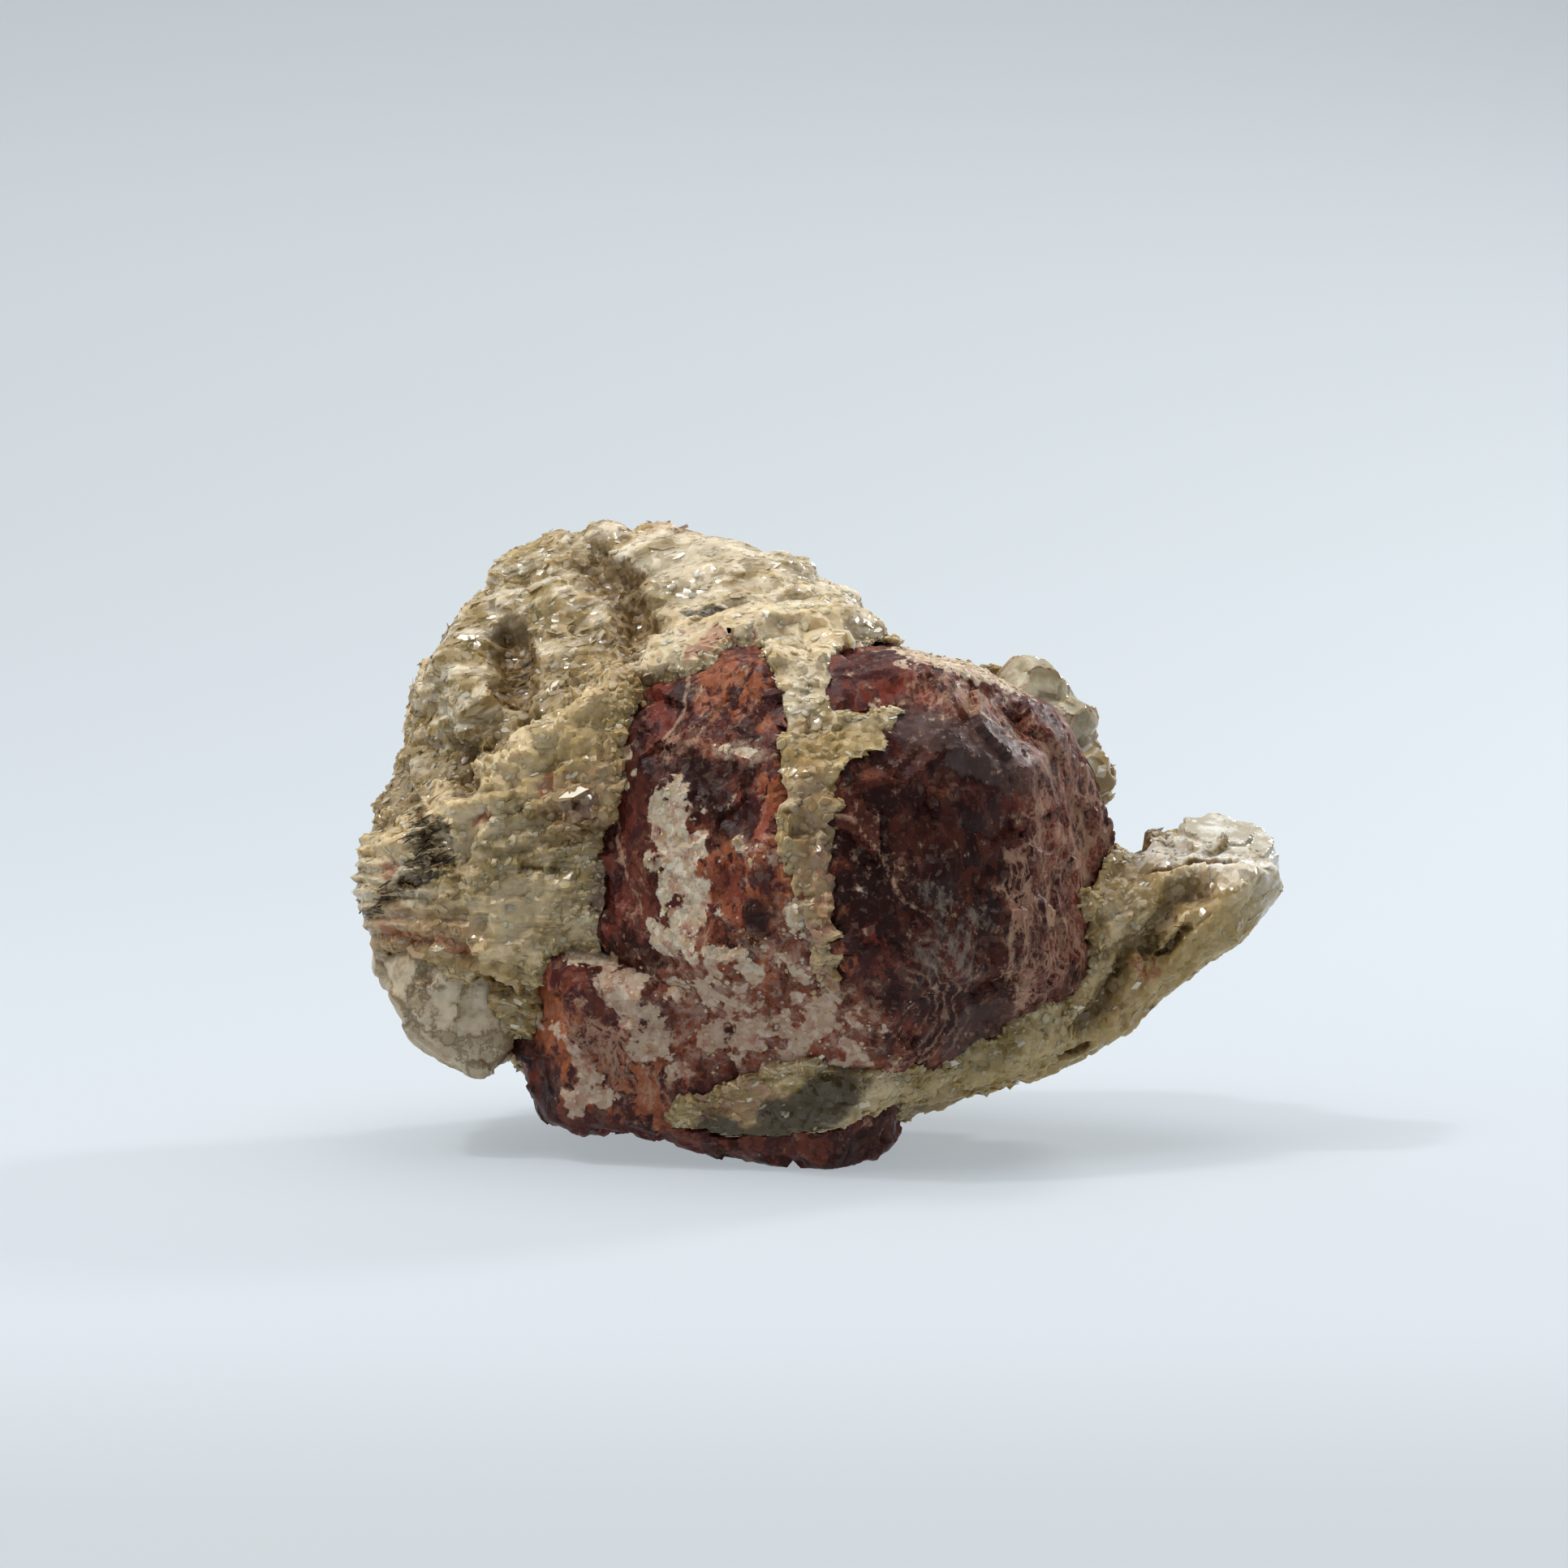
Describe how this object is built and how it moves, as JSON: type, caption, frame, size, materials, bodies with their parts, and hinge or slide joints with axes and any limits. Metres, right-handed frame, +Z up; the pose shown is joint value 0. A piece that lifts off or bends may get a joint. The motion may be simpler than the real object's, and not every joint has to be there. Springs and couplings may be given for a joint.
{
  "type": "almandine garnet specimen",
  "caption": "Worn almandine garnet crystal set in a curved lump of silvery mica schist that runs out to a thin tail on one side.",
  "frame": {"origin": "middle of the base, under the middle of the specimen's bounding box", "axes": "+Z up, the front with the large crystal faces -Y, +X towards the tail of the matrix"},
  "size_m": [0.0496, 0.0322, 0.0329],
  "materials": {
    "almandine": "dark purple-brown to red crystal with flat, glassy, cracked faces and pale seams",
    "mica_schist": "granular beige to olive rock, thick with small silvery mica flakes that glint",
    "white_quartz": "cream-white, sugary, slightly translucent",
    "grey_quartz": "grey-green translucent grains with glassy faces",
    "muscovite": "silvery mica sheets with a pearly shine"
  },
  "bodies": {
    "root": {"garnet_crystal": "almandine", "schist_matrix": "mica_schist", "quartz_lump": "white_quartz", "grey_quartz": "grey_quartz", "muscovite_book": "muscovite"}
  },
  "joints": []
}
